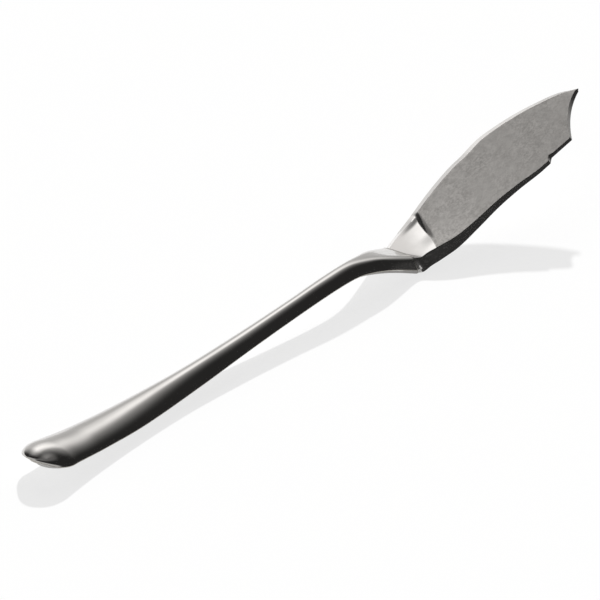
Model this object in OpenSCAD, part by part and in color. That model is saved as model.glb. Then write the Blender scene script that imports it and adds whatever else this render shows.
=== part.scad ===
// Fish knife with a hollow handle: a forged blade whose tang is bedded in a filled,
// two-piece pressed handle. The knife lies face up, +X towards the tip, +Z up, and
// stands on the floor with the belly of its handle and the heel of its blade.

/* [Handle] */
// Length of the handle, from its end to its mouth
handle_length = 131; // [100:1:160]
// Widest part of the handle, near its end
handle_width = 12.8; // [10:0.1:14]
// Thickest part of the handle, near its end
handle_thick = 5; // [4.5:0.1:7]
// Width of the slim waist before the neck
waist_width = 5.7; // [5:0.1:9]
// Thickness of the waist
waist_thick = 3; // [2.9:0.1:6]
// Width of the handle's mouth, where the blade begins
mouth_width = 11.8; // [8:0.1:14]
// Thickness of the handle's mouth
mouth_thick = 4.2; // [3.4:0.1:6]
// Height that the upturned end gains over the belly
end_rise = 2.5; // [1:0.1:6]
// Height that the hump before the neck gains over the belly
hump_rise = 4.1; // [1:0.1:8]
// Angle by which the handle's flanks and the wall of the blade's spine lean inwards, in degrees
flank_draft = 25; // [5:1:30]
// Wall of the two pressed half shells
shell_wall = 0.5; // [0.35:0.05:0.65]
// Thickness of the brazed seam between the half shells
seam_thick = 0.16; // [0.1:0.01:0.3]
// Thickness of the brazed joint at the mouth
neck_seam = 0.16; // [0.1:0.01:0.5]

/* [Blade] */
// Reach of the blade along the knife, from the handle's mouth to the tip
blade_reach = 74; // [60:1:95]
// Angle at which the blade climbs towards its tip, in degrees
blade_rise = 18; // [8:0.1:22]
// Farthest that the spine lies from the knife's middle line
spine_reach = 12.5; // [9:0.1:15]
// How far the end corner lies from the knife's middle line
corner_reach = 12.5; // [8:0.1:15]
// Farthest that the cutting edge lies from the knife's middle line
edge_reach = 9.6; // [8:0.1:15]
// Thickness of the spine at the heel
heel_thick = 3.1; // [2.4:0.1:4.5]
// Thickness of the spine at the end corner
spine_end_thick = 0.8; // [0.6:0.1:2]
// Thickness of the blade beside the bevel, at the heel
inner_heel_thick = 1.5; // [1:0.1:2]
// Thickness of the blade beside the bevel, at the end corner
inner_end_thick = 0.7; // [0.6:0.1:1.2]
// Width of the bevel along the cutting edge
bevel_width = 1.4; // [0.8:0.1:2.5]
// Thickness left at the cutting edge
edge_thick = 0.3; // [0.2:0.05:0.6]
// Depth of the small notch in the spine
notch_depth = 0.9; // [0.4:0.1:2]
// Distance from the tip back to the notch
notch_from_tip = 26.7; // [20:0.1:30]
// Distance from the tip back to the corner where the spine ends
corner_from_tip = 16.9; // [10:0.1:19]
// How far the slanted end is hollowed
end_hollow = 1.3; // [0:0.1:2.5]
// How far the tip lies to the spine's side of the middle line
tip_offset = 3.4; // [0:0.1:5]
// Width left at the blunted tip
tip_width = 0.5; // [0.3:0.1:1]

/* [Heel] */
// Depth of the polished hollow between the neck and the blade's flat
ramp_depth = 0.7; // [0.3:0.05:1]
// Distance from the mouth to the far wall of the hollow, on the middle line
ramp_length = 13.5; // [8:0.1:16]
// Run of the steep wall at the hollow's far side
ramp_wall = 1.6; // [0.6:0.1:2]
// Distance from the mouth to the heel, where the underside turns up into the blade
heel_run = 2.4; // [1.6:0.1:4]
// Half the run over which the underside turns up
heel_round = 1.6; // [0.5:0.1:1.6]

/* [Tang] */
// Length of the tang inside the handle
tang_length = 48; // [30:1:70]
// Width of the tang at its root
tang_width = 3; // [2.2:0.1:3.4]
// Thickness of the tang
tang_thick = 1; // [0.7:0.1:1.3]
// Clearance of the filler round the tang and in the shells
bond_gap = 0.03; // [0.02:0.01:0.08]

/* [Hidden] */

// Counts of facets and steps
arc_steps = 12;
end_steps = 9;
body_steps = 34;
tang_steps = 12;
tip_steps = 12;
spine_steps = 16;
heel_steps = 40;

// Stations along the handle, as shares of its length, and what each takes of the named sizes
station_shares = [0, 0.023, 0.061, 0.122, 0.229, 0.382, 0.534, 0.687, 0.786, 0.847, 0.893, 0.939, 1];
swell_shares = [0.28, 1.085, 0.925, 0.82, 0.595, 0.3, 0.095, 0.01, 0, 0, 0, 0, 0];
flare_shares = [0, 0, 0, 0, 0, 0, 0, 0, 0.04, 0.09, 0.3, 0.67, 1];
bulk_shares = [-0.2, 0.95, 1, 0.7, 0.85, 0.48, 0.06, 0, 0, 0, 0, 0, 0];
firm_shares = [0, 0, 0, 0, 0, 0, 0, 0, 0.14, 0.4, 0.6, 0.7, 1];
upturn_shares = [1, 0.76, 0.57, 0.26, 0, 0, 0, 0, 0, 0, 0, 0, 0];
hump_shares = [0, 0, 0, 0, 0, 0.1, 0.43, 0.78, 0.99, 1, 0.8, 0.47, 0];
drop_shares = [0, 0, 0, 0, 0, 0, 0, 0, 0, 0, 0, 0, 1];
// Share of the thickness that the lower shell takes, as a shallow tray under the upper one
tray_shares = [0.315, 0.38, 0.45, 0.45, 0.37, 0.28, 0.25, 0.25, 0.25, 0.25, 0.25, 0.25, 0.25];
end_round = 0.58 * handle_width;

// Squareness of the sections: 2 is an ellipse or a plain bow, and more is nearer to a rectangle
belly_square = 2.4;
mouth_square = 7;
belly_bow = 2.2;
mouth_bow = 8;
tang_square = 8;
tang_tip_share = 0.5;

// Blade outline: stations from the shoulder to the notch, and from the shoulder to the tip
spine_station_shares = [0, 0.042, 0.095, 0.147, 0.267, 0.435, 0.605, 0.763, 0.91, 1];
spine_shares = [0, 0.06, 0.11, 0.235, 0.46, 0.54, 0.59, 0.725, 0.925, 1];
edge_station_shares =
    [0, 0.027, 0.078, 0.145, 0.211, 0.351, 0.476, 0.554, 0.647, 0.736, 0.818, 0.889, 0.953, 0.985, 1];
bulge_shares = [0, 0.075, 0.29, 0.44, 0.57, 0.92, 1.07, 1, 1, 1, 1, 1, 1, 1, 1];
fall_shares = [0, 0, 0, 0, 0, 0, 0, 0, 0.006, 0.121, 0.277, 0.464, 0.67, 0.847, 1];
thick_station_shares = [0, 0.095, 0.19, 0.284, 0.392, 0.581, 0.77, 1];
thick_shares = [1, 0.93, 0.68, 0.464, 0.32, 0.09, 0, 0];
notch_run = 2.2 * notch_depth;
bevel_share = 0.4;
lean_share = 0.3;
neck_blend = 0.24 * ramp_length;
ramp_slant = 0.77;
ramp_tail = 0.6 * ramp_length;
ramp_fade = [-0.08 * spine_reach, 0.38 * spine_reach];

// Places along the knife, from the end of the handle
mouth_x = handle_length;
shoulder_x = mouth_x + neck_seam;
tip_x = shoulder_x + blade_reach;
corner_x = tip_x - corner_from_tip;
notch_x = tip_x - notch_from_tip;
heel_x = shoulder_x + heel_run;
heel_end_x = shoulder_x + ramp_length + ramp_slant * edge_reach;
tang_x = mouth_x - tang_length;
centre_shift = [-tip_x / 2, (spine_reach - edge_reach) / 2, 0];

// Smooth curve through the points of a table
function slope(t, v, i) =
    let (a = max(i - 1, 0), b = min(i + 1, len(t) - 1)) (v[b] - v[a]) / (t[b] - t[a]);
function segment(t, x, i = 0) = (i >= len(t) - 2 || x < t[i + 1]) ? i : segment(t, x, i + 1);
function smooth(t, v, x) =
    let (i = segment(t, x), h = t[i + 1] - t[i], s = (x - t[i]) / h, r = 1 - s)
    v[i] * (1 + 2 * s) * r * r + v[i + 1] * (1 + 2 * r) * s * s
    + h * s * r * (slope(t, v, i) * r - slope(t, v, i + 1) * s);
function ease(s) = let (c = min(max(s, 0), 1)) c * c * (3 - 2 * c);
function mix(a, b, s) = a + (b - a) * s;
function reversed(v) = [for (i = [len(v) - 1 : -1 : 0]) v[i]];
function steps(a, b, n) = [for (k = [1 : n]) mix(a, b, k / n)];

// Size and height of the handle at a distance x from its end
function along(shares, x) = smooth(station_shares, shares, min(x, mouth_x) / handle_length);
function half_width(x) =
    (waist_width + along(swell_shares, x) * (handle_width - waist_width)
     + along(flare_shares, x) * (mouth_width - waist_width)) / 2;
function thick(x) =
    waist_thick + along(bulk_shares, x) * (handle_thick - waist_thick)
    + along(firm_shares, x) * (mouth_thick - waist_thick);
function tray(x) = along(tray_shares, x);
function lift(x) = along(upturn_shares, x) * end_rise + along(hump_shares, x) * hump_rise;
belly_level = max([for (x = steps(0, mouth_x / 2, body_steps)) tray(x) * thick(x) - lift(x)]);
mouth_level = tray(mouth_x) * mouth_thick;
function seam_level(x) = belly_level + lift(x) + along(drop_shares, x) * (mouth_level - belly_level);
function rounding(d, r) = d >= r ? 1 : sqrt(max(0, 1 - pow(1 - d / r, 2)));

// Half outline of the handle's section: the domed upper shell with its leaning flanks where
// side is 1, and the shallow tray under the seam where side is -1
function bend(v, n) = sign(v) * pow(abs(v), 2 / n);
function layer(x, inset, side) =
    let (f = rounding(x - inset, end_round - inset),
         w = (half_width(x) - inset) * f,
         share = side > 0 ? 1 - tray(x) : tray(x),
         h = max((share * thick(x) - inset) * f - seam_thick / 2, 0),
         n = mix(belly_square, mouth_square, along(flare_shares, x)),
         bow = mix(belly_bow, mouth_bow, along(flare_shares, x)))
    [for (k = [0 : arc_steps])
        let (a = 180 * k / arc_steps, c = bend(cos(a), n),
             rise = h * (side > 0 ? bend(sin(a), n) : 1 - pow(abs(c), bow)),
             lean = side > 0 ? tan(flank_draft) * rise : 0)
        [x, (w - lean) * c, seam_level(x) + side * (seam_thick / 2 + rise)]];
function loop(x, inset) = concat(layer(x, inset, 1), reversed(layer(x, inset, -1)));
function stations(inset) =
    concat([for (k = [0 : end_steps]) inset + (end_round - inset) * (1 - cos(90 * k / end_steps))],
           steps(end_round, mouth_x, body_steps));

// Section of the tang, larger by gap on each side
function tang_loop(x, gap) =
    let (w = tang_width / 2 * mix(tang_tip_share, 1, min(1, (x - tang_x) / tang_length)) + gap,
         t = tang_thick / 2 + gap,
         level = seam_level(x) + (0.5 - tray(x)) * thick(x))
    [for (side = [1, -1], k = [0 : arc_steps])
        let (a = 180 * (side > 0 ? k : arc_steps - k) / arc_steps)
        [x, w * bend(cos(a), tang_square), level + side * t * (1 + bend(sin(a), tang_square)) / 2]];

// Reach of the blade on the spine's side of the middle line
function spine_curve(x) =
    mix(mouth_width / 2, spine_reach,
        smooth(spine_station_shares, spine_shares, (x - shoulder_x) / (notch_x - shoulder_x)));
function spine_end(x) =
    let (s = (x - corner_x) / (tip_x - corner_x))
    mix(corner_reach, tip_offset + tip_width / 2, s) - end_hollow * 4 * s * (1 - s);
function spine_y(x) =
    let (root_x = notch_x + notch_run, root = spine_reach - notch_depth)
    x <= notch_x ? spine_curve(x)
    : x <= root_x ? mix(spine_reach, root, (x - notch_x) / notch_run)
    : x <= corner_x ? mix(root, corner_reach, (x - root_x) / (corner_x - root_x))
    : spine_end(x);

// Reach of the blade on the cutting edge's side
function edge_y(x) =
    let (s = (x - shoulder_x) / blade_reach)
    mix(mouth_width / 2, edge_reach, smooth(edge_station_shares, bulge_shares, s))
    - smooth(edge_station_shares, fall_shares, s) * (edge_reach + tip_offset - tip_width / 2);

// Height of the blade's flat underside, which turns up at the heel
function under(x) =
    let (d = x - heel_x, r = heel_round)
    tan(blade_rise) * (d > r ? d : d < -r ? 0 : pow(d + r, 2) / (4 * r));

// Thickness of the blade, which falls from the spine towards the bevel and from heel to tip
function thickness(x, s) =
    let (f = smooth(thick_station_shares, thick_shares, (x - shoulder_x) / blade_reach))
    mix(mix(spine_end_thick, heel_thick, f), mix(inner_end_thick, inner_heel_thick, f), s);

// Depth of the polished hollow, which fades out towards the spine and the neck
function hollow(x, y) =
    let (d = shoulder_x + ramp_length + ramp_slant * y - x,
         fade = ease((y + ramp_fade[1]) / (ramp_fade[1] - ramp_fade[0])))
    ramp_depth * fade * ease(d / ramp_wall) * (1 - ease((d - ramp_wall) / ramp_tail));

// Section of the blade: the cutting edge, the bevel, the face and the underside
function blade_face(x, k) =
    let (far = edge_y(x), near = -spine_y(x), bevel = min(bevel_width, bevel_share * (far - near)),
         lean = min(tan(flank_draft) * thickness(x, 0), lean_share * (far - near)),
         s = (k - 1) / (arc_steps - 1), y = mix(far - bevel, near + lean, s))
    k == 0 ? [x, far, under(x) + edge_thick]
    : [x, y, under(x) + thickness(x, 1 - s) - hollow(x, y)];
function blade_loop(x) =
    concat([for (k = [0 : arc_steps]) blade_face(x, k)],
           [for (k = [arc_steps : -1 : 0]) [x, mix(edge_y(x), -spine_y(x), k / arc_steps), under(x)]]);
function neck_loop(x) = [for (p = loop(mouth_x, 0)) [x, p[1], p[2]]];
function heel_loop(x) =
    let (a = neck_loop(x), b = blade_loop(x), w = ease((x - shoulder_x) / neck_blend))
    [for (i = [0 : len(a) - 1]) mix(a[i], b[i], w)];

// Solid between a row of rings, each made of one arc and, backwards, the arc that faces it
function first_same(ring, j) = [for (k = [0 : j]) if (norm(ring[k] - ring[j]) == 0) k][0];
module skin(rings, start_cap = true) {
    n = len(rings[0]);
    m = len(rings);
    at = [for (i = [0 : m - 1], j = [0 : n - 1]) i * n + first_same(rings[i], j)];
    sides = [for (i = [0 : m - 2], j = [0 : n - 1])
        let (k = (j + 1) % n, a = at[i * n + j], b = at[i * n + k],
             c = at[(i + 1) * n + k], d = at[(i + 1) * n + j])
        each [[a, c, b], [a, d, c]]];
    ladder = [for (k = [0 : n / 2 - 2]) each [[k, k + 1, n - 2 - k], [k, n - 2 - k, n - 1 - k]]];
    last = (m - 1) * n;
    caps = concat(start_cap ? ladder : [], [for (f = ladder) [last + f[0], last + f[2], last + f[1]]]);
    polyhedron(points = [for (r = rings, p = r) p],
               faces = concat([for (f = sides) if (f[0] != f[1] && f[1] != f[2] && f[2] != f[0]) f], caps),
               convexity = 6);
}

// Forged blade: tang, shoulder, heel with its hollow, flat, notch, slanted end and tip
module blade() {
    tang = [for (x = concat([tang_x], steps(tang_x, mouth_x, tang_steps), [shoulder_x])) tang_loop(x, 0)];
    heel = [for (x = concat([shoulder_x], steps(shoulder_x, heel_end_x, heel_steps))) heel_loop(x)];
    flat = [for (x = concat(steps(heel_end_x, notch_x, spine_steps), [notch_x + notch_run],
                            steps(notch_x + notch_run, corner_x, 2), steps(corner_x, tip_x, tip_steps)))
        blade_loop(x)];
    color("gainsboro") skin(concat(tang, heel, flat));
}

// One pressed half of the handle, open at the mouth
module half_shell(side) {
    outer = stations(0);
    inner = stations(shell_wall);
    rings = [for (i = [0 : len(outer) - 1])
        concat(layer(outer[i], 0, side), reversed(layer(inner[i], shell_wall, side)))];
    skin([for (r = rings) side > 0 ? r : reversed(r)], start_cap = false);
}

module handle_upper_shell() color("silver") half_shell(1);

module handle_lower_shell() color("darkgray") half_shell(-1);

// Cement that fills the handle and beds the tang
module handle_filler() {
    inset = shell_wall + bond_gap;
    cast = [for (x = stations(inset)) loop(x, inset)];
    socket = [for (x = reversed(concat([tang_x - bond_gap], steps(tang_x, mouth_x, tang_steps))))
        tang_loop(x, bond_gap)];
    color("tan") skin(concat(cast, socket), start_cap = false);
}

// Brazed seam, a thin strip between the shells' lips all round the handle
module seam_braze() {
    outer = stations(0);
    inner = stations(shell_wall);
    last = len(outer) - 1;
    function lip(i, k) =
        [layer(outer[i], 0, -1)[k], layer(inner[i], shell_wall, -1)[k],
         layer(inner[i], shell_wall, 1)[k], layer(outer[i], 0, 1)[k]];
    color("khaki") skin(concat([for (i = [last : -1 : 0]) lip(i, 0)], [for (i = [1 : last]) lip(i, arc_steps)]));
}

// Brazed joint between the handle's mouth and the blade's shoulder, round the tang
module neck_braze() {
    color("khaki") translate([mouth_x, 0, 0]) rotate([90, 0, 90]) linear_extrude(neck_seam)
        difference() {
            polygon([for (p = loop(mouth_x, 0)) [p[1], p[2]]]);
            polygon([for (p = tang_loop(mouth_x, bond_gap)) [p[1], p[2]]]);
        }
}

translate(centre_shift) blade();
translate(centre_shift) handle_upper_shell();
translate(centre_shift) handle_lower_shell();
translate(centre_shift) handle_filler();
translate(centre_shift) seam_braze();
translate(centre_shift) neck_braze();
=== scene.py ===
"""Looks of a fish knife: a forged blade bedded in a hollow handle of two pressed shells.

The knife lies face up on a pale floor, with +X towards the tip. It is modelled in
millimetres from the end of its handle, and each piece is then moved into the shared
frame, in metres.
"""

from __future__ import annotations

import logging
import math
from dataclasses import dataclass, field
from enum import Enum
from typing import Collection, Sequence

import bmesh
import bpy
from mathutils import Matrix, Vector


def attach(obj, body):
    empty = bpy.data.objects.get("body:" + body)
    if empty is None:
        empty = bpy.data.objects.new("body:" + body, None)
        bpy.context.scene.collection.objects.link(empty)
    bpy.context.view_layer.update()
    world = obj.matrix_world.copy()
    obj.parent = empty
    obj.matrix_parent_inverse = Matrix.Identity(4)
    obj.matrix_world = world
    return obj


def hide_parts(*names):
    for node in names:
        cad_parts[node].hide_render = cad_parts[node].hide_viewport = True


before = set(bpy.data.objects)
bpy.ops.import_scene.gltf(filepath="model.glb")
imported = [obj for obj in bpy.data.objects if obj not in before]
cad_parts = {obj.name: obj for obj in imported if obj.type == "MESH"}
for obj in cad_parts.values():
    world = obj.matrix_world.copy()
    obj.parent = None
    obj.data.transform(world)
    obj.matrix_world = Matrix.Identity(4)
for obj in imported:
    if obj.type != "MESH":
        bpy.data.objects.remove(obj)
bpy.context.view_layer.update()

log = logging.getLogger("fish_knife")

Shares = tuple[float, ...]
Point = tuple[float, float, float]
Ring = list[Point]
Colour = tuple[float, float, float]
Span = tuple[float, float]
Piece = bpy.types.Object
Material = bpy.types.Material
Node = bpy.types.Node
Socket = bpy.types.NodeSocket
Outputs = bpy.types.NodeOutputs
Tree = bpy.types.NodeTree
Feed = Socket | float | tuple[float, ...]

MM_PER_M = 1000


class Slot(Enum):
    """Material slots of the record."""

    SATIN = "satin_steel"
    POLISHED = "polished_steel"
    BRAZE = "braze"


class Half(Enum):
    """The two pressed halves of the handle."""

    UPPER = 1
    LOWER = -1


class Texture(Enum):
    """Shared textures, with the name of the input that sets how fine each is."""

    SCRATCHES = "Spacing"
    GRAIN = "Grain"


# Curves


def mix(low: float, high: float, share: float) -> float:
    """Value at a share of the way from low to high."""
    return low + (high - low) * share


def ease(share: float) -> float:
    """Share eased at both ends and held between 0 and 1."""
    held = min(max(share, 0.0), 1.0)
    return held * held * (3 - 2 * held)


def bend(value: float, square: float) -> float:
    """Cosine or sine of an oval, drawn out towards a rectangle as square grows past 2."""
    return math.copysign(abs(value) ** (2 / square), value)


def curve(stations: Shares, values: Shares, at: float) -> float:
    """Smooth curve through a table.

    Args:
        stations: Places of the table, rising.
        values: Value at each place.
        at: Place to read.

    Returns:
        The value of the curve at that place.
    """
    last = len(stations) - 2
    i = 0
    while i < last and at >= stations[i + 1]:
        i += 1

    def slope(j: int) -> float:
        """Slope of the curve at a place of the table."""
        a, b = max(j - 1, 0), min(j + 1, last + 1)
        return (values[b] - values[a]) / (stations[b] - stations[a])

    span = stations[i + 1] - stations[i]
    s = (at - stations[i]) / span
    r = 1 - s
    ends = values[i] * (1 + 2 * s) * r * r + values[i + 1] * (1 + 2 * r) * s * s
    return ends + span * s * r * (slope(i) * r - slope(i + 1) * s)


def steps(first: float, last: float, count: int) -> list[float]:
    """Even steps from first to last, without the first."""
    return [mix(first, last, k / count) for k in range(1, count + 1)]


# Meshes


def add(name: str, data: bpy.types.ID) -> Piece:
    """Adds an object to the scene.

    Args:
        name: Name of the object.
        data: Its mesh, lamp or camera.

    Returns:
        The new object.
    """
    made = bpy.data.objects.new(name, data)
    bpy.context.scene.collection.objects.link(made)
    return made


def add_mesh(name: str, mesh: bmesh.types.BMesh) -> Piece:
    """Adds a mesh to the scene and frees its draft.

    Args:
        name: Name of the object.
        mesh: The draft.

    Returns:
        The new object.
    """
    data = bpy.data.meshes.new(name)
    mesh.to_mesh(data)
    mesh.free()
    return add(name, data)


@dataclass
class Loft:
    """A closed skin through rings, each an arc followed by the facing arc in reverse.

    Args:
        name: Name of the piece.
        shift: Place of the modelling origin in the shared frame, in millimetres.
        caps: Which end rings are closed: 0 the first, -1 the last.
        sharp: Angle in degrees past which an edge stays crisp.
        snap: Steps to a metre to which points are rounded before they are welded.
    """

    name: str
    shift: Point
    caps: tuple[int, ...] = (0, -1)
    sharp: float = 34.0
    snap: float = 1e8

    def build(self, rings: Sequence[Ring], walls: Collection[int] = ()) -> Piece:
        """Makes the mesh object.

        Args:
            rings: Rings of equal length, in millimetres.
            walls: Points of a ring after which the faces take the second material.

        Returns:
            The new object, linked to the scene.
        """
        mesh = bmesh.new()
        known: dict[tuple[int, int, int], bmesh.types.BMVert] = {}

        def vertex(point: Point) -> bmesh.types.BMVert:
            """The vertex at a point, made once.

            Args:
                point: Place in millimetres, before the shift.

            Returns:
                The new vertex, or the known one at that place.
            """
            place = [(p + s) / MM_PER_M for p, s in zip(point, self.shift)]
            key = tuple(round(v * self.snap) for v in place)
            if key not in known:
                known[key] = mesh.verts.new(place)
            return known[key]

        def face(corners: Sequence[bmesh.types.BMVert], wall: bool) -> None:
            """Adds a face without doubled corners, or none if too few are left.

            Args:
                corners: Vertices round the face.
                wall: Whether it takes the second material.
            """
            kept = [v for k, v in enumerate(corners) if v is not corners[k - 1]]
            if len(set(kept)) < 3 or len(set(kept)) != len(kept):
                return
            if mesh.faces.get(kept) is None:
                made = mesh.faces.new(kept)
                made.material_index = int(wall)
                made.smooth = True

        grid = [[vertex(p) for p in ring] for ring in rings]
        count = len(rings[0])
        for i in range(len(rings) - 1):
            for j in range(count):
                k = (j + 1) % count
                face((grid[i][j], grid[i + 1][j], grid[i + 1][k], grid[i][k]), j in walls)
        for i in self.caps:
            for k in range(count // 2 - 1):
                corners = (grid[i][k], grid[i][k + 1], grid[i][count - 2 - k], grid[i][count - 1 - k])
                face(corners if i == 0 else corners[::-1], k in walls)
        bmesh.ops.recalc_face_normals(mesh, faces=mesh.faces[:])
        piece = add_mesh(self.name, mesh)
        piece.data.set_sharp_from_angle(angle=math.radians(self.sharp))
        return piece


# Shader groups


@dataclass
class Board:
    """A tree of shader nodes in the making."""

    tree: Tree = field(init=False)

    def node(self, kind: str, feeds: dict[str | int, Feed] | None = None, **settings: object) -> Node:
        """Adds a node.

        Args:
            kind: Type of the node.
            feeds: Sockets or plain values of its inputs, by name or index.
            settings: Properties of the node by name.

        Returns:
            The new node.
        """
        made = self.tree.nodes.new(kind)
        for key, value in settings.items():
            setattr(made, key, value)
        for key, value in (feeds or {}).items():
            self.feed(made.inputs[key], value)
        return made

    def feed(self, target: Socket, value: Feed) -> None:
        """Links a socket to the target, or sets its plain value.

        Args:
            target: Input of a node.
            value: Socket or plain value.
        """
        if isinstance(value, Socket):
            self.tree.links.new(value, target)
        else:
            target.default_value = value

    def math(self, operation: str, *values: Socket | float) -> Socket:
        """Works out a sum of sockets and numbers.

        Args:
            operation: Name of the Math node's operation.
            values: Sockets or plain numbers, in order.

        Returns:
            The socket that holds the result.
        """
        return self.node("ShaderNodeMath", dict(enumerate(values)), operation=operation).outputs[0]

    def ramp(self, value: Socket, low: float, high: float) -> Socket:
        """Stretches a value from low to high onto 0 to 1, eased.

        Args:
            value: Socket of the value.
            low: Value that becomes 0.
            high: Value that becomes 1.

        Returns:
            The socket of the eased share.
        """
        feeds = {"Value": value, "From Min": low, "From Max": high}
        return self.node("ShaderNodeMapRange", feeds, interpolation_type="SMOOTHSTEP").outputs["Result"]

    def fall(self, value: Socket, low: float, high: float) -> Socket:
        """One less the ramp from low to high."""
        return self.math("SUBTRACT", 1.0, self.ramp(value, low, high))


@dataclass
class Group(Board):
    """A shader node group.

    Args:
        name: Name of the group.
        takes: Its number inputs, each with its usual value.
    """

    name: str
    takes: dict[str, float]
    inward: Outputs = field(init=False)
    outward: bpy.types.NodeInputs = field(init=False)

    def __post_init__(self) -> None:
        """Starts the group with its inputs."""
        self.tree = bpy.data.node_groups.new(self.name, "ShaderNodeTree")
        for name, value in self.takes.items():
            made = self.tree.interface.new_socket(name, in_out="INPUT", socket_type="NodeSocketFloat")
            made.default_value = value
        self.inward = self.tree.nodes.new("NodeGroupInput").outputs
        self.outward = self.tree.nodes.new("NodeGroupOutput").inputs

    def gives(self, name: str, source: Socket) -> None:
        """Adds a number output and links it."""
        self.tree.interface.new_socket(name, in_out="OUTPUT", socket_type="NodeSocketFloat")
        self.feed(self.outward[name], source)

    def place(self, scale: Point = (1.0, 1.0, 1.0)) -> Socket:
        """Coordinates of the object, stretched by a scale on each axis.

        Args:
            scale: Stretch on X, Y and Z.

        Returns:
            The socket of the coordinates.
        """
        where = self.node("ShaderNodeTexCoord").outputs["Object"]
        return self.node("ShaderNodeMapping", {"Vector": where, "Scale": scale}).outputs["Vector"]

    def noise(self, where: Socket, scale: float | Socket,
              detail: float = 3.0, rough: float = 0.55) -> Socket:
        """Cloudy value between 0 and 1.

        Args:
            where: Socket of the coordinates.
            scale: Number of clouds to a metre, or its socket.
            detail: How many finer layers are added.
            rough: How strong those layers are.

        Returns:
            The socket of the value.
        """
        feeds = {"Vector": where, "Scale": scale, "Detail": detail, "Roughness": rough}
        return self.node("ShaderNodeTexNoise", feeds).outputs["Fac"]


def hairline_scratches() -> Tree:
    """Group of fine scratches that run mostly along the knife.

    Returns:
        A tree that gives Height for a bump and Mask where scratches lie.
    """
    group = Group("Hairline scratches", {"Spacing": 900.0})
    lines = [group.noise(group.place(stretch), group.inward["Spacing"], detail=2.0, rough=0.6)
             for stretch in ((0.06, 1.0, 1.0), (0.12, 0.8, 1.3))]
    crossed = group.math("MULTIPLY", *lines)
    patch = group.ramp(group.noise(group.place(), scale=90.0, detail=2.0), low=0.35, high=0.7)
    mask = group.math("MULTIPLY", group.ramp(crossed, low=0.27, high=0.4), patch)
    group.gives("Height", group.math("SUBTRACT", 0.5, group.math("MULTIPLY", mask, 0.5)))
    group.gives("Mask", mask)
    return group.tree


def satin_grain() -> Tree:
    """Group of the fine, even speckle that a satin or blasted finish shows.

    Returns:
        A tree that gives Height for a bump, Speckle and slow Cloud, each from 0 to 1.
    """
    group = Group("Satin grain", {"Grain": 2600.0})
    where = group.place((0.55, 1.0, 1.0))
    grain = group.inward["Grain"]
    fine = group.noise(where, grain, detail=3.0, rough=0.65)
    coarse = group.noise(where, group.math("MULTIPLY", grain, 0.3), detail=2.0, rough=0.6)
    both = group.math("ADD", group.math("MULTIPLY", fine, 0.65), group.math("MULTIPLY", coarse, 0.35))
    group.gives("Height", both)
    group.gives("Speckle", group.ramp(both, low=0.36, high=0.64))
    cloud = group.noise(group.place(), scale=140.0, detail=3.0, rough=0.5)
    group.gives("Cloud", group.ramp(cloud, low=0.3, high=0.7))
    return group.tree


def handled_wear() -> Tree:
    """Group of the smudges and rubbed edges that handling leaves.

    Returns:
        A tree that gives Smudge, soft and broad, and Rubbed, bright on outer edges.
    """
    group = Group("Handled wear", {"Smudge size": 55.0})
    size = group.inward["Smudge size"]
    cloud = group.noise(group.place((0.5, 1.0, 1.0)), size, detail=4.0, rough=0.6)
    group.gives("Smudge", group.ramp(cloud, low=0.38, high=0.68))
    shape = group.node("ShaderNodeNewGeometry").outputs
    edge = group.ramp(shape["Pointiness"], low=0.52, high=0.6)
    broken = group.ramp(group.noise(group.place(), scale=700.0, detail=2.0), low=0.3, high=0.6)
    group.gives("Rubbed", group.math("MULTIPLY", edge, broken))
    return group.tree


def heel_polish() -> Tree:
    """Group that marks the polished hollow of the heel, short of a slanted line.

    Returns:
        A tree that gives Mask, 1 on the neck's side of the line, and the share by which
        the polish's colour is made darker, which grows from 0 near the line to 1 at the neck.
    """
    group = Group("Heel polish", {"Line": 0.0, "Slant": 0.0, "Blur": 0.0002})
    where = group.node("ShaderNodeTexCoord").outputs["Object"]
    split = group.node("ShaderNodeSeparateXYZ", {0: where}).outputs
    line = group.math("MULTIPLY_ADD", split["Y"], group.inward["Slant"], group.inward["Line"])
    short = group.math("SUBTRACT", line, split["X"])
    sharp = group.math("DIVIDE", short, group.inward["Blur"])
    group.gives("Mask", group.ramp(sharp, low=-1.0, high=1.0))
    cloud = group.noise(group.place(), scale=260.0, detail=3.0)
    spread = group.math("MULTIPLY_ADD", cloud, 0.003, short)
    group.gives("Neck darkening", group.ramp(spread, low=0.0025, high=0.0105))
    return group.tree


@dataclass
class Effects:
    """The shared shader groups, each built once."""

    scratches: Tree = field(default_factory=hairline_scratches)
    grain: Tree = field(default_factory=satin_grain)
    wear: Tree = field(default_factory=handled_wear)
    heel: Tree = field(default_factory=heel_polish)


# Finishes


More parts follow.
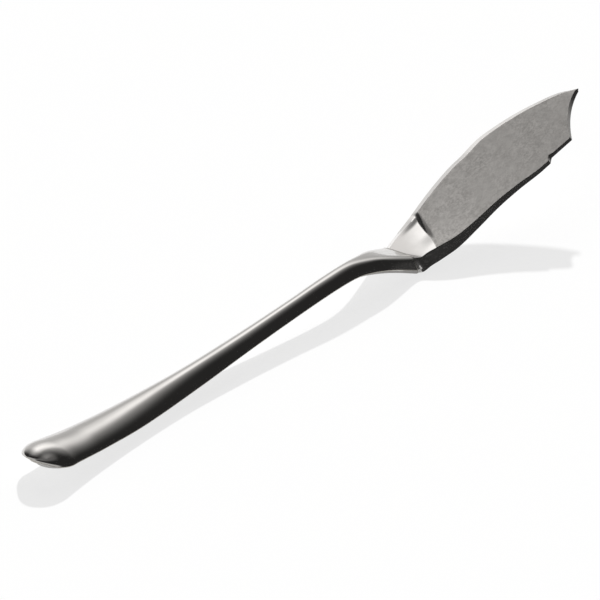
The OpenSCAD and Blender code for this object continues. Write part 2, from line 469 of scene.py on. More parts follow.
@dataclass
class Sheet(Board):
    """Node sheet of one material, with its shader.

    Args:
        name: Name of the material.
        metal: Metallic share of the shader.
    """

    name: str
    metal: float = 0.0
    material: Material = field(init=False)
    shader: Node = field(init=False)

    def __post_init__(self) -> None:
        """Starts a material with one shader."""
        self.material = bpy.data.materials.new(self.name)
        self.material.use_nodes = True
        self.tree = self.material.node_tree
        self.shader = self.tree.nodes["Principled BSDF"]
        self.shader.inputs["Metallic"].default_value = self.metal

    def group(self, tree: Tree, **values: float) -> Outputs:
        """Places a shared group with its own values.

        Args:
            tree: The shared group.
            values: Inputs by name, with a low line for each blank.

        Returns:
            The group's outputs.
        """
        feeds = {key.replace("_", " "): value for key, value in values.items()}
        return self.node("ShaderNodeGroup", feeds, node_tree=tree).outputs

    def blend(self, share: Socket, low: Socket | float, high: Socket | float) -> Socket:
        """Number between low and high by a share.

        Args:
            share: Socket from 0 to 1.
            low: Number or socket at 0.
            high: Number or socket at 1.

        Returns:
            The socket of the blended number.
        """
        return self.node("ShaderNodeMix", {0: share, 2: low, 3: high}, data_type="FLOAT").outputs[0]

    def tint(self, share: Socket, low: Colour | Socket, high: Colour | Socket) -> Socket:
        """Colour between low and high by a share.

        Args:
            share: Socket from 0 to 1.
            low: Colour or socket at 0.
            high: Colour or socket at 1.

        Returns:
            The socket of the blended colour.
        """
        low, high = (end if isinstance(end, Socket) else (*end, 1.0) for end in (low, high))
        return self.node("ShaderNodeMix", {0: share, 6: low, 7: high}, data_type="RGBA").outputs[2]

    def bump(self, height: Socket, depth: float, strength: float,
             under: Socket | None = None) -> Socket:
        """Normal from a height.

        Args:
            height: Socket of the height, from 0 to 1.
            depth: Real depth of a height of 1, in metres.
            strength: How much of the bump shows.
            under: Normal of a bump that lies under this one.

        Returns:
            The socket of the normal.
        """
        feeds = {"Distance": depth, "Strength": strength, "Height": height}
        if under is not None:
            feeds["Normal"] = under
        return self.node("ShaderNodeBump", feeds).outputs["Normal"]

    def surface(self, colour: Socket, rough: Socket, normal: Socket) -> Material:
        """Feeds the shader.

        Args:
            colour: Socket of the base colour.
            rough: Socket of the roughness.
            normal: Socket of the normal.

        Returns:
            The finished material.
        """
        for name, source in (("Base Color", colour), ("Roughness", rough), ("Normal", normal)):
            self.feed(self.shader.inputs[name], source)
        return self.material


@dataclass(frozen=True)
class Finish:
    """One material in layers, each laid on where a mask of the shared groups is 1.

    Args:
        name: Name of the material.
        colour: Colour of the first layer.
        tints: Mask and colour of each further layer.
        rough: Roughness of the first layer.
        roughs: Mask and roughness of each further layer.
        texture: Which texture is felt.
        fineness: Lines or grains of the texture to a metre.
        smudges: Smudges to a metre.
        depth: Real depth of the texture, in metres.
        strength: How much of its bump shows.
        metal: Metallic share.
    """

    name: str
    colour: Colour
    tints: tuple[tuple[str, Colour], ...]
    rough: float
    roughs: tuple[tuple[str, float], ...]
    texture: Texture
    fineness: float
    smudges: float
    depth: float
    strength: float
    metal: float = 1.0

    def dress(self, effects: Effects) -> Material:
        """Makes the material.

        Args:
            effects: The shared groups.

        Returns:
            The material.
        """
        sheet = Sheet(self.name, metal=self.metal)
        masks = dict(sheet.group(effects.wear, Smudge_size=self.smudges).items())
        tree = effects.grain if self.texture is Texture.GRAIN else effects.scratches
        masks.update(sheet.group(tree, **{self.texture.value: self.fineness}).items())
        colour = self.colour
        for mask, value in self.tints:
            colour = sheet.tint(masks[mask], colour, value)
        rough = self.rough
        for mask, value in self.roughs:
            rough = sheet.blend(masks[mask], rough, value)
        return sheet.surface(colour, rough, sheet.bump(masks["Height"], self.depth, self.strength))


# Mirror polish with hairline scratches and faint smudges
POLISHED_STEEL = Finish(
    "polished steel", colour=(0.63, 0.615, 0.6), tints=(("Smudge", (0.56, 0.545, 0.53)),),
    rough=0.1, roughs=(("Smudge", 0.135), ("Mask", 0.2)),
    texture=Texture.SCRATCHES, fineness=1500.0, smudges=60.0, depth=2.0e-6, strength=0.5)

# Ground bevel and walls of the blade, with fine lines from the wheel; their colour is set brighter than the
# rest of the steel as a painted highlight
GROUND_EDGE = Finish(
    "ground edge", colour=(0.88, 0.865, 0.85),
    tints=(("Smudge", (0.76, 0.745, 0.73)), ("Rubbed", (0.8, 0.785, 0.77))),
    rough=0.14, roughs=(("Mask", 0.252),),
    texture=Texture.SCRATCHES, fineness=2200.0, smudges=160.0, depth=3.0e-6, strength=0.5)

# Silver solder, ground flush and a little yellower than the steel
SILVER_BRAZE = Finish(
    "silver braze", colour=(0.34, 0.32, 0.285),
    tints=(("Speckle", (0.5, 0.475, 0.43)), ("Smudge", (0.34, 0.32, 0.285))),
    rough=0.34, roughs=(("Cloud", 0.476),),
    texture=Texture.GRAIN, fineness=3600.0, smudges=300.0, depth=8.0e-6, strength=0.6)

# Pale, gritty cement inside the handle
CAST_CEMENT = Finish(
    "cast cement", colour=(0.38, 0.355, 0.32),
    tints=(("Speckle", (0.56, 0.53, 0.48)), ("Smudge", (0.56, 0.53, 0.48))),
    rough=0.88, roughs=(("Cloud", 0.72),),
    texture=Texture.GRAIN, fineness=1100.0, smudges=220.0, depth=1.2e-4, strength=0.8, metal=0.0)


@dataclass(frozen=True)
class SatinSteel:
    """Satin face of the blade, polished in the hollow of its heel."""

    light: Colour = (0.515, 0.5, 0.483)
    dark: Colour = (0.415, 0.402, 0.387)
    shine: Colour = (0.66, 0.648, 0.635)
    neck_darker: Colour = (0.42, 0.408, 0.4)
    cloud_share: float = 0.93
    smudge_share: float = 0.94
    rough: float = 0.47
    rough_swing: float = 0.1
    scratch_share: float = 0.8
    smooth: float = 0.16
    heel_blur: float = 0.00025
    grain_depth: float = 6.0e-6
    grain_strength: float = 0.6
    scratch_depth: float = 2.0e-6
    scratch_strength: float = 0.4

    def dress(self, effects: Effects, line: float, slant: float) -> Material:
        """Makes the material.

        Args:
            effects: The shared groups.
            line: Where the polish ends on the middle line, in metres along the frame.
            slant: How far that line moves for each metre across.

        Returns:
            The material.
        """
        sheet = Sheet("satin steel", metal=1.0)
        heel = sheet.group(effects.heel, Line=line, Slant=slant, Blur=self.heel_blur)
        grain = sheet.group(effects.grain, Grain=2400.0)
        lines = sheet.group(effects.scratches, Spacing=1100.0)
        wear = sheet.group(effects.wear, Smudge_size=80.0)
        mottle = sheet.tint(grain["Speckle"], self.dark, self.light)
        clouded = tuple(self.cloud_share * c for c in self.light)
        mottle = sheet.tint(grain["Cloud"], mottle, clouded)
        smudged = tuple(self.smudge_share * c for c in self.shine)
        shine = sheet.tint(wear["Smudge"], self.shine, smudged)
        # The polished colour is made darker towards the neck.
        shine = sheet.tint(heel["Neck darkening"], shine, self.neck_darker)
        colour = sheet.tint(heel["Mask"], mottle, shine)
        satin = sheet.blend(grain["Speckle"], self.rough * (1 + self.rough_swing),
                            self.rough * (1 - self.rough_swing))
        satin = sheet.blend(lines["Mask"], satin, self.rough * self.scratch_share)
        rough = sheet.blend(heel["Mask"], satin, self.smooth)
        relief = sheet.blend(heel["Mask"], grain["Height"], 0.5)
        normal = sheet.bump(relief, self.grain_depth, self.grain_strength)
        normal = sheet.bump(lines["Height"], self.scratch_depth, self.scratch_strength, normal)
        return sheet.surface(colour, rough, normal)


# Handle


@dataclass
class Handle:
    """Hollow handle: a deep domed shell over a shallow tray, brazed along their rims.

    Sizes are millimetres. Each table gives shares at the stations along the length.
    """

    length: float = 131.0
    width: float = 12.8
    thick: float = 5.0
    waist_width: float = 5.7
    waist_thick: float = 3.0
    mouth_width: float = 11.8
    mouth_thick: float = 4.2
    end_rise: float = 2.985
    hump_rise: float = 4.1
    flank_draft: float = 25.0
    wall: float = 0.5
    seam_thick: float = 0.16
    neck_seam: float = 0.16
    belly_square: float = 2.22
    mouth_square: float = 7.0
    belly_bow: float = 1.65
    mouth_bow: float = 20.0
    end_round: float = 6.6
    arc_steps: int = 32
    end_steps: int = 26
    body_steps: int = 150
    belly_steps: int = 34
    stations: Shares = (0, 0.023, 0.061, 0.122, 0.229, 0.382, 0.534, 0.687, 0.786, 0.847, 0.893, 0.939, 1)
    swell: Shares = (0.758, 1.01, 0.911, 0.807, 0.643, 0.3, 0.095, 0.01, 0, 0, 0, 0, 0)
    flare: Shares = (0, 0, 0, 0, 0, 0, 0, 0, 0.04, 0.09, 0.3, 0.67, 1)
    bulk: Shares = (-0.41, 0.93, 1.043, 0.796, 0.801, 0.48, 0.06, 0, 0, 0, 0, 0, 0)
    firm: Shares = (0, 0, 0, 0, 0, 0, 0, 0, 0.14, 0.4, 0.6, 0.7, 1)
    upturn: Shares = (1, 0.608, 0.431, 0.198, 0, 0, 0, 0, 0, 0, 0, 0, 0)
    hump: Shares = (0, 0, 0, 0, 0, 0.1, 0.43, 0.78, 0.99, 1, 0.8, 0.47, 0)
    drop: Shares = (0, 0, 0, 0, 0, 0, 0, 0, 0, 0, 0, 0, 1)
    trays: Shares = (0.33, 0.392, 0.416, 0.409, 0.394, 0.28, 0.25, 0.25, 0.25, 0.25, 0.25, 0.25, 0.25)
    belly_level: float = field(init=False)

    def __post_init__(self) -> None:
        """Finds the level at which the belly touches the floor."""
        places = steps(0, self.length / 2, self.belly_steps)
        self.belly_level = max(self.tray(x) * self.thickness(x) - self.lift(x) for x in places)

    def along(self, table: Shares, x: float) -> float:
        """Share that a table gives at a distance x from the end."""
        return curve(self.stations, table, min(x, self.length) / self.length)

    def half_width(self, x: float) -> float:
        """Half of the width at x."""
        swell = self.waist_width + self.along(self.swell, x) * (self.width - self.waist_width)
        return (swell + self.along(self.flare, x) * (self.mouth_width - self.waist_width)) / 2

    def thickness(self, x: float) -> float:
        """Thickness at x."""
        bulk = self.waist_thick + self.along(self.bulk, x) * (self.thick - self.waist_thick)
        return bulk + self.along(self.firm, x) * (self.mouth_thick - self.waist_thick)

    def lift(self, x: float) -> float:
        """Height that the handle gains over its belly at x."""
        return self.along(self.upturn, x) * self.end_rise + self.along(self.hump, x) * self.hump_rise

    def tray(self, x: float) -> float:
        """Share of the thickness that the lower shell takes at x."""
        return self.along(self.trays, x)

    def seam_level(self, x: float) -> float:
        """Height of the seam at x."""
        mouth_level = self.tray(self.length) * self.mouth_thick
        return self.belly_level + self.lift(x) + self.along(self.drop, x) * (mouth_level - self.belly_level)

    def arc(self, x: float, inset: float, half: Half, count: int | None = None) -> Ring:
        """Half outline of the section.

        Args:
            x: Distance from the handle's end.
            inset: Depth under the outer skin.
            half: Which shell the outline belongs to.
            count: Number of steps round the arc, or none for the usual.

        Returns:
            Points from the cutting edge's side to the spine's side.
        """
        count = count or self.arc_steps
        reach = self.end_round - inset
        start = x - inset
        shrink = 1.0 if start >= reach else math.sqrt(max(0.0, 1 - (1 - start / reach) ** 2))
        w = (self.half_width(x) - inset) * shrink
        share = 1 - self.tray(x) if half is Half.UPPER else self.tray(x)
        h = max((share * self.thickness(x) - inset) * shrink - self.seam_thick / 2, 0.0)
        flare = self.along(self.flare, x)
        square = mix(self.belly_square, self.mouth_square, flare)
        bow = mix(self.belly_bow, self.mouth_bow, flare)
        draft = math.tan(math.radians(self.flank_draft)) * (1.0 if half is Half.UPPER else -flare)
        level = self.seam_level(x)
        ring = []
        for k in range(count + 1):
            angle = math.pi * k / count
            c = bend(math.cos(angle), square)
            s = bend(math.sin(angle), square) if 0 < k < count else 0.0
            rise = h * (s if half is Half.UPPER else 1 - abs(c) ** bow)
            ring.append((x, (w - draft * rise) * c, level + half.value * (self.seam_thick / 2 + rise)))
        return ring

    def places(self, inset: float) -> list[float]:
        """Stations of the rings, close together round the end.

        Args:
            inset: Depth under the outer skin.

        Returns:
            Distances from the inset end to the mouth.
        """
        reach = self.end_round - inset
        quarter = [math.pi / 2 * k / self.end_steps for k in range(self.end_steps + 1)]
        turn = [inset + reach * (1 - math.cos(angle)) for angle in quarter]
        return turn + steps(self.end_round, self.length, self.body_steps)

    def shell(self, half: Half, name: str, shift: Point) -> Piece:
        """Builds one pressed shell, open at the mouth.

        Args:
            half: Which shell.
            name: Name of the piece.
            shift: Place of the origin in the frame.

        Returns:
            The shell.
        """
        rings = []
        for outer, inner in zip(self.places(0.0), self.places(self.wall)):
            rings.append(self.arc(outer, 0.0, half) + self.arc(inner, self.wall, half)[::-1])
        return Loft(name, shift, caps=(-1,)).build(rings)

    def seam(self, name: str, shift: Point) -> Piece:
        """Builds the brazed strip between the rims, all round the handle.

        Args:
            name: Name of the piece.
            shift: Place of the origin in the frame.

        Returns:
            The strip.
        """
        outer = self.places(0.0)
        inner = self.places(self.wall)
        last = len(outer) - 1

        def lip(i: int, k: int) -> Ring:
            """Small section of the strip at a ring and an end of its arcs."""
            return [self.arc(outer[i], 0.0, Half.LOWER)[k], self.arc(inner[i], self.wall, Half.LOWER)[k],
                    self.arc(inner[i], self.wall, Half.UPPER)[k], self.arc(outer[i], 0.0, Half.UPPER)[k]]

        rings = [lip(i, 0) for i in range(last, -1, -1)]
        rings += [lip(i, self.arc_steps) for i in range(1, last + 1)]
        return Loft(name, shift).build(rings)

    def outline(self, x: float, count: int) -> Ring:
        """Whole outline of the mouth.

        Args:
            x: Where the outline is placed.
            count: Number of steps round each half.

        Returns:
            Points over the upper half and back under the lower half.
        """
        upper = self.arc(self.length, 0.0, Half.UPPER, count)
        lower = self.arc(self.length, 0.0, Half.LOWER, count)
        return [(x, p[1], p[2]) for p in upper + lower[::-1]]


# Blade


@dataclass
class Blade:
    """Forged blade with its tang, hollow heel, bevel, notched spine and slanted end.

    Sizes are millimetres, angles are degrees, and the tables give shares along the blade.
    """

    handle: Handle

    # Outline and height
    reach: float = 74.0
    rise: float = 18.0
    spine_reach: float = 12.5
    corner_reach: float = 12.5
    edge_reach: float = 9.6
    heel_run: float = 2.4
    heel_round: float = 1.6

    # Thickness, bevel and flanks
    heel_thick: float = 3.1
    spine_end_thick: float = 0.8
    inner_heel_thick: float = 1.5
    inner_end_thick: float = 0.7
    bevel_width: float = 1.4
    bevel_share: float = 0.4
    edge_thick: float = 0.3
    lean_share: float = 0.3
    crisp: float = 24.0

    # Notch and slanted end
    notch_depth: float = 0.9
    notch_run: float = 2.2
    notch_from_tip: float = 26.7
    corner_from_tip: float = 16.9
    end_hollow: float = 1.3
    end_draft: float = 48.0
    end_slope: float = 0.4
    tip_offset: float = 3.4
    tip_width: float = 0.5

    # Polished hollow of the heel
    ramp_depth: float = 0.7
    ramp_length: float = 13.5
    ramp_wall: float = 2.0
    ramp_slant: float = 0.77
    ramp_rim: float = 1.5
    rim_least: float = 0.6
    ramp_tail: float = 0.6
    fade_from: float = 0.38
    fade_run: float = 0.46
    narrow_wall: float = 0.5
    narrow_from: float = 3.0
    narrow_run: float = 9.0
    polish_short: float = 1.0
    polish_turn: float = 0.09

    # Turn from the mouth into the blade
    upper_turn: float = 0.24
    lower_turn: float = 0.15

    # Tang
    tang_length: float = 48.0
    tang_width: float = 3.0
    tang_thick: float = 1.0
    tang_tip: float = 0.5
    tang_square: float = 8.0

    # Steps of the mesh, and shares of the wall at which its two strips meet
    arc_steps: int = 64
    side_steps: int = 12
    foot_steps: int = 14
    tang_steps: int = 12
    heel_steps: int = 110
    spine_steps: int = 60
    notch_steps: int = 4
    back_steps: int = 10
    end_steps: int = 40
    probe: float = 0.05
    upper_wall: float = 0.72
    lower_wall: float = 0.78

    # Tables along the blade
    spine_stations: Shares = (0, 0.042, 0.095, 0.147, 0.267, 0.435, 0.605, 0.763, 0.91, 1)
    spine: Shares = (0, 0.06, 0.11, 0.235, 0.46, 0.54, 0.59, 0.725, 0.925, 1)
    edge_stations: Shares = (0, 0.027, 0.078, 0.145, 0.211, 0.351, 0.476, 0.554, 0.647, 0.736, 0.818, 0.889,
                             0.953, 0.985, 1)
    bulge: Shares = (0, 0.075, 0.29, 0.44, 0.57, 0.92, 1.07, 1, 1, 1, 1, 1, 1, 1, 1)
    fall: Shares = (0, 0, 0, 0, 0, 0, 0, 0, 0.006, 0.121, 0.277, 0.464, 0.67, 0.847, 1)
    thick_stations: Shares = (0, 0.095, 0.19, 0.284, 0.392, 0.581, 0.77, 1)
    thick: Shares = (1, 0.93, 0.68, 0.464, 0.32, 0.09, 0, 0)

    @property
    def shoulder(self) -> float:
        """Where the blade meets the brazed joint."""
        return self.handle.length + self.handle.neck_seam

    @property
    def tip(self) -> float:
        """Where the blade ends."""
        return self.shoulder + self.reach

    @property
    def notch(self) -> float:
        """Where the notch starts."""
        return self.tip - self.notch_from_tip

    @property
    def root(self) -> float:
        """Where the notch has reached its depth."""
        return self.notch + self.notch_run * self.notch_depth

    @property
    def corner(self) -> float:
        """Where the slanted end starts."""
        return self.tip - self.corner_from_tip

    @property
    def shift(self) -> Point:
        """Place of the modelling origin in the frame."""
        return (-self.tip / 2, (self.spine_reach - self.edge_reach) / 2, 0.0)

    @property
    def heel_end(self) -> float:
        """Where the hollow has ended on the cutting edge's side."""
        return self.shoulder + self.ramp_length + self.ramp_slant * self.edge_reach

    def spine_y(self, x: float) -> float:
        """Reach of the spine, over its rise, its notch, its back and the bowed end.

        Args:
            x: Distance from the handle's end.

        Returns:
            Distance of the spine from the middle line.
        """
        lower = self.spine_reach - self.notch_depth
        if x <= self.notch:
            along = (x - self.shoulder) / (self.notch - self.shoulder)
            share = curve(self.spine_stations, self.spine, along)
            return mix(self.handle.mouth_width / 2, self.spine_reach, share)
        if x <= self.root:
            return mix(self.spine_reach, lower, (x - self.notch) / (self.root - self.notch))
        if x <= self.corner:
            return mix(lower, self.corner_reach, (x - self.root) / (self.corner - self.root))
        share = (x - self.corner) / (self.tip - self.corner)
        straight = mix(self.corner_reach, self.tip_offset + self.tip_width / 2, share)
        return straight - self.end_hollow * 4 * share * (1 - share)

    def edge_y(self, x: float) -> float:
        """Reach of the cutting edge.

        Args:
            x: Distance from the handle's end.

        Returns:
            Distance of the edge from the middle line.
        """
        share = (x - self.shoulder) / self.reach
        swell = curve(self.edge_stations, self.bulge, share)
        bulge = mix(self.handle.mouth_width / 2, self.edge_reach, swell)
        fall = curve(self.edge_stations, self.fall, share)
        return bulge - fall * (self.edge_reach + self.tip_offset - self.tip_width / 2)

    def under(self, x: float) -> float:
        """Height of the underside: level at the heel, then bent upwards and flat.

        Args:
            x: Distance from the handle's end.

        Returns:
            Height over the floor.
        """
        past = x - self.shoulder - self.heel_run
        turn = self.heel_round
        run = past if past > turn else max(past + turn, 0.0) ** 2 / (4 * turn)
        return math.tan(math.radians(self.rise)) * run

    def thickness(self, x: float, across: float) -> float:
        """Thickness, which falls towards the tip and towards the cutting edge.

        Args:
            x: Distance from the handle's end.
            across: Share of the way from the spine to the bevel.

        Returns:
            The thickness.
        """
        share = curve(self.thick_stations, self.thick, (x - self.shoulder) / self.reach)
        spine = mix(self.spine_end_thick, self.heel_thick, share)
        return mix(spine, mix(self.inner_end_thick, self.inner_heel_thick, share), across)

    def hollow(self, x: float, y: float) -> float:
        """Depth of the polished hollow, which ends in a slanted wall.

        Args:
            x: Distance from the handle's end.
            y: Distance from the middle line, towards the cutting edge.

        Returns:
            Depth under the face.
        """
        short = self.shoulder + self.ramp_length + self.ramp_slant * y - x
        fade = ease((y + self.fade_from * self.spine_reach) / (self.fade_run * self.spine_reach))
        wall = self.ramp_wall * mix(self.narrow_wall, 1.0, ease((y + self.narrow_from) / self.narrow_run))
        tail = 1 - ease((short - wall) / (self.ramp_tail * self.ramp_length))
        rim = mix(self.rim_least, 1.0, ease((self.edge_y(x) - self.bevel_width - y) / self.ramp_rim))
        return self.ramp_depth * fade * rim * ease(short / wall) * tail

    def ring(self, x: float) -> Ring:
        """Section of the blade: bevel, face, leaning wall and underside.

        Args:
            x: Distance from the handle's end.

        Returns:
            Points from the cutting edge over the face and back along the underside.
        """
        far = self.edge_y(x)
        near = -self.spine_y(x)
        foot = self.under(x)
        slope = (self.spine_y(x - self.probe) - self.spine_y(x + self.probe)) / (2 * self.probe)
        draft = mix(self.handle.flank_draft, self.end_draft, ease(slope / self.end_slope))
        lean = math.tan(math.radians(draft)) * self.thickness(x, 0.0)
        lean = min(lean, self.lean_share * (far - near))
        bevel = min(self.bevel_width, self.bevel_share * (far - near))

        def face(share: float) -> Point:
            """Point of the face from the bevel at 0 to the wall at 1."""
            y = mix(far - bevel, near + lean, share)
            return (x, y, foot + self.thickness(x, 1 - share) - self.hollow(x, y))

        def between(a: Point, b: Point, share: float) -> Point:
            """Point on a straight line of the section."""
            return (x, mix(a[1], b[1], share), mix(a[2], b[2], share))

        edge = (x, far, foot + self.edge_thick)
        heel = (x, near, foot)
        side = self.side_steps
        last = self.arc_steps - side
        foot_shares = [mix(self.lower_wall, 1.0, k / self.foot_steps) for k in range(self.foot_steps)]
        ring = [between(edge, face(0.0), k / side) for k in range(side)]
        ring += [face(k / (last - side)) for k in range(last - side + 1)]
        ring += [between(face(1.0), heel, self.upper_wall * k / side) for k in range(1, side + 1)]
        ring += [between(face(1.0), heel, share) for share in foot_shares]
        rest = self.arc_steps - self.foot_steps
        return ring + [(x, mix(near, far, k / rest), foot) for k in range(rest + 1)]

    def heel_ring(self, x: float) -> Ring:
        """Section that turns from the handle's mouth into the blade.

        Args:
            x: Distance from the handle's end.

        Returns:
            Points in the order of the blade's own section.
        """
        upper = ease((x - self.shoulder) / (self.upper_turn * self.ramp_length))
        lower = ease((x - self.shoulder) / (self.lower_turn * self.ramp_length))
        pairs = zip(self.handle.outline(x, self.arc_steps), self.ring(x))
        return [tuple(mix(a, b, upper if k <= self.arc_steps else lower) for a, b in zip(p, q))
                for k, (p, q) in enumerate(pairs)]

    def tang_ring(self, x: float) -> Ring:
        """Section of the tang, a rounded bar in the middle of the handle.

        Args:
            x: Distance from the handle's end.

        Returns:
            Points in the order of the blade's own section.
        """
        start = self.handle.length - self.tang_length
        w = self.tang_width / 2 * mix(self.tang_tip, 1, min(1.0, (x - start) / self.tang_length))
        level = self.handle.seam_level(x) + (0.5 - self.handle.tray(x)) * self.handle.thickness(x)
        ring = []
        for side in (1, -1):
            for k in range(self.arc_steps + 1):
                angle = math.pi * (k if side > 0 else self.arc_steps - k) / self.arc_steps
                rise = self.tang_thick / 2 * (1 + bend(math.sin(angle), self.tang_square)) / 2
                ring.append((x, w * bend(math.cos(angle), self.tang_square), level + side * rise))
        return ring

    def build(self, name: str) -> Piece:
        """Builds the blade in one piece, with its face in slot 0 and its walls in slot 1.

        Args:
            name: Name of the piece.

        Returns:
            The blade.
        """
        start = self.handle.length - self.tang_length
        tang = [start] + steps(start, self.handle.length, self.tang_steps) + [self.shoulder]
        heel = [self.shoulder] + steps(self.shoulder, self.heel_end, self.heel_steps)
        flat = (steps(self.heel_end, self.notch, self.spine_steps)
                + steps(self.notch, self.root, self.notch_steps)
                + steps(self.root, self.corner, self.back_steps)
                + steps(self.corner, self.tip, self.end_steps))
        rings = ([self.tang_ring(x) for x in tang] + [self.heel_ring(x) for x in heel]
                 + [self.ring(x) for x in flat])
        last = 2 * self.arc_steps + 1
        walls = {*range(self.side_steps), last,
                 *range(self.arc_steps - self.side_steps, self.arc_steps + self.foot_steps + 1)}
        return Loft(name, self.shift, sharp=self.crisp).build(rings, walls)


@dataclass
class NeckJoint:
    """Brazed ring between the handle's mouth and the blade's shoulder."""

    blade: Blade

    def build(self, name: str) -> Piece:
        """Builds the ring with its hole for the tang.

        Args:
            name: Name of the piece.

        Returns:
            The ring.
        """
        blade = self.blade
        near = blade.handle.length
        far = blade.shoulder
        count = blade.arc_steps
        hole = [(p[1], p[2]) for p in blade.tang_ring(near)]
        rings = [blade.handle.outline(near, count), blade.handle.outline(far, count),
                 [(far, y, z) for y, z in hole], [(near, y, z) for y, z in hole],
                 blade.handle.outline(near, count)]
        return Loft(name, blade.shift, caps=()).build(rings)


@dataclass
class Knife:
    """The whole knife, as pieces that stand for the solids of the frame."""

    effects: Effects
    handle: Handle = field(default_factory=Handle)
    blade: Blade = field(init=False)

    def __post_init__(self) -> None:
        """Fits the blade to the handle."""
        self.blade = Blade(self.handle)

    def finish(self, piece: Piece, node: str,
               materials: Sequence[Material]) -> None:
        """Puts a piece in place of its solid and dresses it.

        Args:
            piece: The new piece.
            node: Name of the solid that it stands for.
            materials: Materials in the order of the piece's slots.
        """
        for material in materials:
            piece.data.materials.append(material)
        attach(piece, "root")
        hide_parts(node)
        log.info("%s: %d faces in place of %s", piece.name, len(piece.data.polygons), node)

    def build(self) -> None:
        """Builds and dresses every piece."""
        polished = POLISHED_STEEL.dress(self.effects)
        ground = GROUND_EDGE.dress(self.effects)
        braze = SILVER_BRAZE.dress(self.effects)
        shift = self.blade.shift
        slant = self.blade.ramp_slant + self.blade.polish_turn
        polish = self.blade.shoulder + self.blade.ramp_length - self.blade.polish_short
        line = (polish + shift[0] - slant * shift[1]) / MM_PER_M
        satin = SatinSteel().dress(self.effects, line, slant)
        upper = self.handle.shell(Half.UPPER, "upper_shell", shift)
        self.finish(upper, "handle_upper_shell", [polished])
        lower = self.handle.shell(Half.LOWER, "lower_shell", shift)
        self.finish(lower, "handle_lower_shell", [polished])
        self.finish(self.handle.seam("brazed_seam", shift), "seam_braze", [braze])
        self.finish(NeckJoint(self.blade).build("brazed_neck"), "neck_braze", [braze])
        self.finish(self.blade.build("forged_blade"), "blade", [satin, ground])
        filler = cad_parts["handle_filler"]
        filler.data.materials.clear()
        filler.data.materials.append(CAST_CEMENT.dress(self.effects))
        log.info("handle_filler: keeps its solid, dressed as cast cement")


# Studio


@dataclass(frozen=True)
class Room:
    """Light of the room by direction, in degrees from +X towards +Y and above the floor.

    A slope is the change in the sine of the height for each radian of turn.

    A long soft strip hangs behind the knife over a pale wall. The room falls dark to the
    right of the camera and above, and a second, low band of light runs around the back.
    """

    tint: Colour = (1.0, 0.99, 0.978)
    dark: float = 0.028
    skirting: float = 0.03
    skirting_head: Span = (4.014, 11.537)
    middle: float = 36.096
    turn_in: Span = (-28.0, 56.0)
    turn_out: Span = (64.0, 78.0)
    strip: float = 1.0
    strip_foot: Span = (12.0, 36.0)
    strip_head: Span = (36.0, 51.0)
    foot_slope: float = 0.3
    head_slope: float = 0.17
    wall: float = 0.69
    wall_head: Span = (44.0, 66.0)
    wall_share: float = 0.26
    back: float = 0.6
    back_in: Span = (-85.0, -65.0)
    back_out: Span = (62.0, 88.0)
    back_foot: Span = (0.0, 9.0)
    back_head: Span = (28.0, 40.0)
    back_slope: float = 0.21
    top: float = 0.14
    top_foot: Span = (64.158, 90.0)

    def build(self) -> None:
        """Builds the world's nodes."""
        world = bpy.data.worlds.new("soft room")
        bpy.context.scene.world = world
        world.use_nodes = True
        board = Board()
        board.tree = world.node_tree
        way = board.node("ShaderNodeTexCoord").outputs["Generated"]
        x, y, height = board.node("ShaderNodeSeparateXYZ", {0: way}).outputs
        turn = board.math("ARCTAN2", y, x)
        away = board.math("ARCTAN2", board.math("MULTIPLY", y, -1.0), board.math("MULTIPLY", x, -1.0))

        def gate(value: Socket, rise: Span, drop: Span) -> Socket:
            """Share that rises and drops again over two spans of turn, in degrees."""
            up = board.ramp(value, *map(math.radians, rise))
            return board.math("MULTIPLY", up, board.fall(value, *map(math.radians, drop)))

        def level(span: Span) -> Span:
            """Sines of a span of heights, in degrees."""
            return math.sin(math.radians(span[0])), math.sin(math.radians(span[1]))

        def slope(value: Socket, rate: float) -> Socket:
            """Height over a line that rises with the turn past the middle of the strip."""
            past = board.math("SUBTRACT", value, math.radians(self.middle))
            return board.math("MULTIPLY_ADD", past, rate, height)

        ahead = gate(turn, self.turn_in, self.turn_out)
        band = board.math("MULTIPLY", board.ramp(slope(turn, -self.foot_slope), *level(self.strip_foot)),
                          board.fall(slope(turn, -self.head_slope), *level(self.strip_head)))
        fade = board.math("MULTIPLY", board.ramp(height, *level(self.wall_head)), self.wall_share - 1.0)
        wall = board.math("MULTIPLY", board.math("ADD", fade, 1.0), self.wall)
        total = board.math("MULTIPLY_ADD", band, self.strip, wall)
        total = board.math("MULTIPLY_ADD", ahead, total, self.dark)
        behind = board.math("MULTIPLY", gate(away, self.back_in, self.back_out),
                            board.ramp(height, *level(self.back_foot)))
        crest = board.fall(slope(away, self.back_slope), *level(self.back_head))
        behind = board.math("MULTIPLY", behind, crest)
        total = board.math("MULTIPLY_ADD", behind, self.back, total)
        crown = board.ramp(height, *level(self.top_foot))
        total = board.math("MULTIPLY_ADD", crown, self.top, total)
        skirting = board.fall(height, *level(self.skirting_head))
        total = board.math("MULTIPLY_ADD", skirting, self.skirting, total)
        colour = board.node("ShaderNodeVectorMath", {0: self.tint, "Scale": total}, operation="SCALE")
        board.feed(board.tree.nodes["Background"].inputs["Color"], colour.outputs["Vector"])


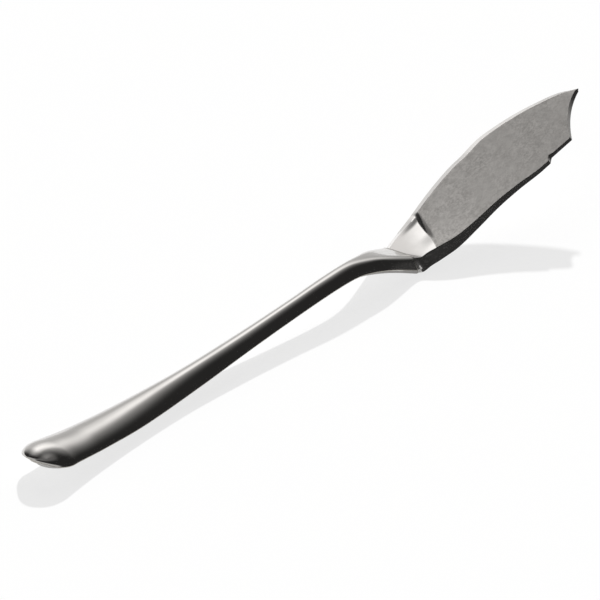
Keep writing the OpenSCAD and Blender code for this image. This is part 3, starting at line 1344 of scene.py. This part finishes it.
@dataclass(frozen=True)
class Studio:
    """Plain pale floor in a soft room, with one far lamp behind the knife for its shadow.

    The floor's share is how much of it glows white to the camera, and the mirrored share is
    how much of that glow the metal sees.
    """

    floor_size: float = 12.0
    floor_colour: Colour = (0.96, 0.96, 0.96)
    floor_rough: float = 0.9
    floor_cells: int = 4
    floor_share: float = 0.745
    mirrored_share: float = 0.35
    lamp_turn: float = 33.7
    lamp_height: float = 26.4
    lamp_spread: float = 1.6
    lamp_strength: float = 5.2
    room: Room = field(default_factory=Room)

    def floor(self) -> None:
        """Lays the floor, pale to the camera and in the metal, with the knife's shadow on it."""
        mesh = bmesh.new()
        cells = self.floor_cells
        bmesh.ops.create_grid(mesh, x_segments=cells, y_segments=cells, size=self.floor_size / 2)
        plane = add_mesh("floor", mesh)
        sheet = Sheet("pale floor")
        sheet.shader.inputs["Base Color"].default_value = (*self.floor_colour, 1.0)
        sheet.shader.inputs["Roughness"].default_value = self.floor_rough
        sheet.shader.inputs["Specular IOR Level"].default_value = 0.0
        glow = sheet.node("ShaderNodeEmission", {"Color": (1.0, 1.0, 1.0, 1.0), "Strength": 1.0})
        path = sheet.node("ShaderNodeLightPath").outputs
        seen = sheet.math("MAXIMUM", path["Is Camera Ray"], path["Is Transmission Ray"])
        mirrored = sheet.math("MULTIPLY", path["Is Glossy Ray"], self.mirrored_share)
        seen = sheet.math("MAXIMUM", seen, mirrored)
        share = sheet.math("MULTIPLY", seen, self.floor_share)
        both = sheet.node("ShaderNodeMixShader", {0: share, 1: sheet.shader.outputs[0], 2: glow.outputs[0]})
        sheet.feed(sheet.tree.nodes["Material Output"].inputs["Surface"], both.outputs[0])
        plane.data.materials.append(sheet.material)

    def lamp(self) -> None:
        """Hangs the far lamp that casts the knife's shadow."""
        data = bpy.data.lights.new("shadow_lamp", "SUN")
        data.energy = self.lamp_strength
        data.angle = math.radians(self.lamp_spread)
        a = math.radians(self.lamp_turn)
        e = math.radians(self.lamp_height)
        way = Vector((math.cos(a) * math.cos(e), math.sin(a) * math.cos(e), math.sin(e)))
        lamp = add("shadow_lamp", data)
        lamp.visible_glossy = False
        lamp.location = way
        lamp.rotation_euler = way.to_track_quat("Z", "Y").to_euler()

    def build(self) -> None:
        """Sets up the floor, the lamp and the room."""
        self.floor()
        self.lamp()
        self.room.build()
        log.info("studio: floor, lamp and room")


@dataclass(frozen=True)
class Viewpoint:
    """Camera at the photograph's angle, with sizes in millimetres and degrees."""

    aim: Point = (-0.261, 9.0188, 0.0)
    turn: float = 54.0826
    height: float = 25.9035
    roll: float = 1.2803
    distance: float = 650.0
    pixels_per_mm: float = 4.3012
    frame_pixels: int = 600
    sensor: float = 36.0
    clip: Span = (0.01, 50.0)

    def build(self) -> None:
        """Places the camera."""
        turned = (Matrix.Rotation(-math.radians(self.turn), 4, "Z")
                  @ Matrix.Rotation(math.radians(90.0 - self.height), 4, "X")
                  @ Matrix.Rotation(math.radians(self.roll), 4, "Z"))
        place = (Vector(self.aim) + turned @ Vector((0.0, 0.0, self.distance))) / MM_PER_M
        data = bpy.data.cameras.new("photo_camera")
        data.sensor_fit = "HORIZONTAL"
        data.sensor_width = self.sensor
        data.lens = self.pixels_per_mm * self.distance / self.frame_pixels * self.sensor
        data.clip_start, data.clip_end = self.clip
        camera = add("photo_camera", data)
        camera.matrix_world = Matrix.Translation(place) @ turned
        bpy.context.scene.camera = camera
        log.info("camera: lens %.1f mm at %.0f mm", data.lens, self.distance)


def main() -> None:
    """Builds the camera, the knife and the studio."""
    logging.basicConfig(level=logging.INFO, format="%(name)s %(message)s")
    bpy.context.scene.view_settings.view_transform = "Standard"
    Viewpoint().build()
    Knife(Effects()).build()
    Studio().build()


if __name__ == "__main__":
    main()
